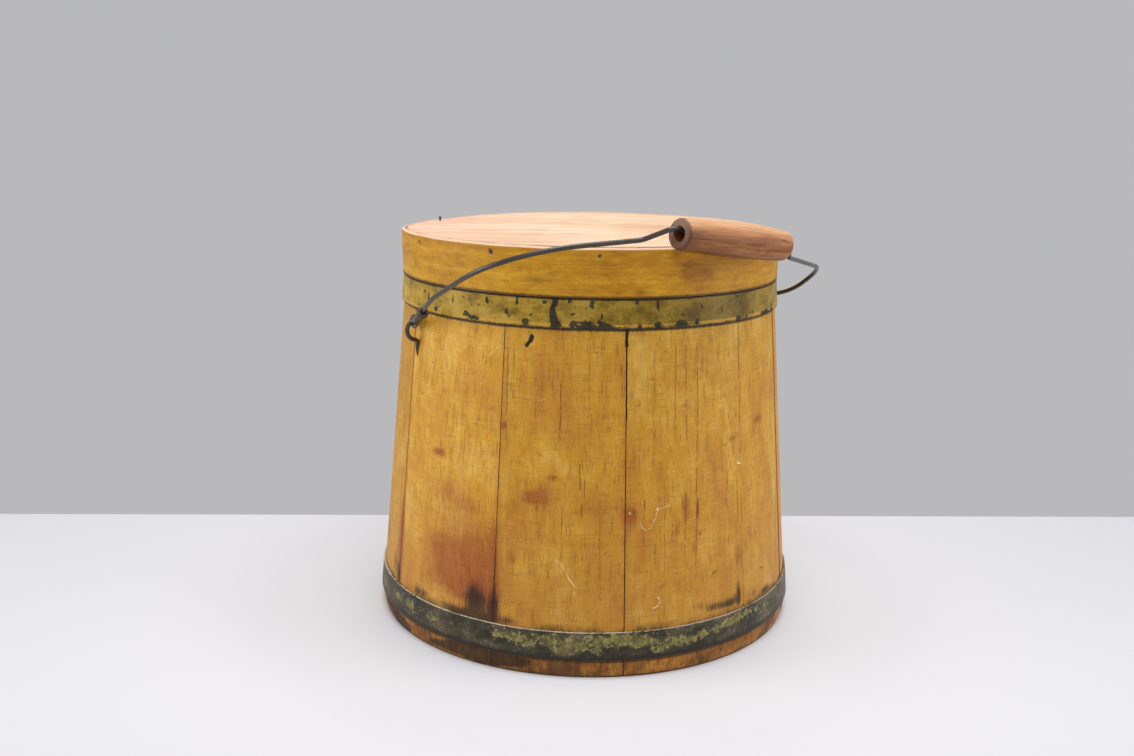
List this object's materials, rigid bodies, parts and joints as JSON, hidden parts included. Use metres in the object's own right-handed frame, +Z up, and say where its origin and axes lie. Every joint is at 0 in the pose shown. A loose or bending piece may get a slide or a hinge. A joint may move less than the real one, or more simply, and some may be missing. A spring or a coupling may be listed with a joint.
{
  "type": "mincemeat bucket",
  "caption": "Coopered wooden bucket with a lift-off bentwood lid, metal hoops and a swinging wire bail with a turned wooden grip, for storing food.",
  "frame": {"origin": "on the bucket's axis, in the plane of its foot", "axes": "+Z up; the two ears are on the X axis; the bail rests toward -Y"},
  "size_m": [0.312, 0.3225, 0.303],
  "materials": {
    "stave_wood": "worn ochre-stained softwood, satin",
    "bottom_wood": "bare softwood, matte",
    "top_hoop_metal": "chipped olive-yellow paint on iron",
    "bottom_hoop_metal": "worn dark paint on iron, satin",
    "ear_iron": "dark forged iron with paint remnants",
    "nail_iron": "rusted nail iron, matte",
    "wire_steel": "dark drawn wire, satin",
    "grip_wood": "turned hardwood, smooth from use",
    "lid_wood": "bare scrubbed softwood, matte",
    "rim_wood": "worn ochre-stained bent wood, satin"
  },
  "bodies": {
    "bucket": {"stave_01": "stave_wood", "stave_02": "stave_wood", "stave_03": "stave_wood", "stave_04": "stave_wood", "stave_05": "stave_wood", "stave_06": "stave_wood", "stave_07": "stave_wood", "stave_08": "stave_wood", "stave_09": "stave_wood", "stave_10": "stave_wood", "bottom_board_front": "bottom_wood", "bottom_board_back": "bottom_wood", "top_hoop": "top_hoop_metal", "bottom_hoop": "bottom_hoop_metal", "top_hoop_rivets": "top_hoop_metal", "bottom_hoop_rivets": "bottom_hoop_metal", "left_ear": "ear_iron", "right_ear": "ear_iron"},
    "bail": {"bail_wire": "wire_steel"},
    "grip": {"bail_grip": "grip_wood"},
    "lid": {"lid_board": "lid_wood", "lid_rim": "rim_wood", "lid_rim_nails": "nail_iron", "lid_rim_lap_tacks": "nail_iron", "lid_top_nail": "nail_iron"}
  },
  "joints": [
    {"name": "bail_swing", "type": "hinge", "parent": "bucket", "child": "bail", "pos_m": [0, 0, 0.223], "axis": [-1, 0, 0], "range_deg": [0, 135]},
    {"name": "grip_spin", "type": "hinge", "parent": "bail", "child": "grip", "pos_m": [0.01202, -0.15024, 0.28709], "axis": [0.9838, 0.1228, -0.1306], "continuous": true},
    {"name": "lid_lift", "type": "slide", "parent": "bucket", "child": "lid", "axis": [0, 0, 1], "range_m": [0, 0.2]}
  ]
}
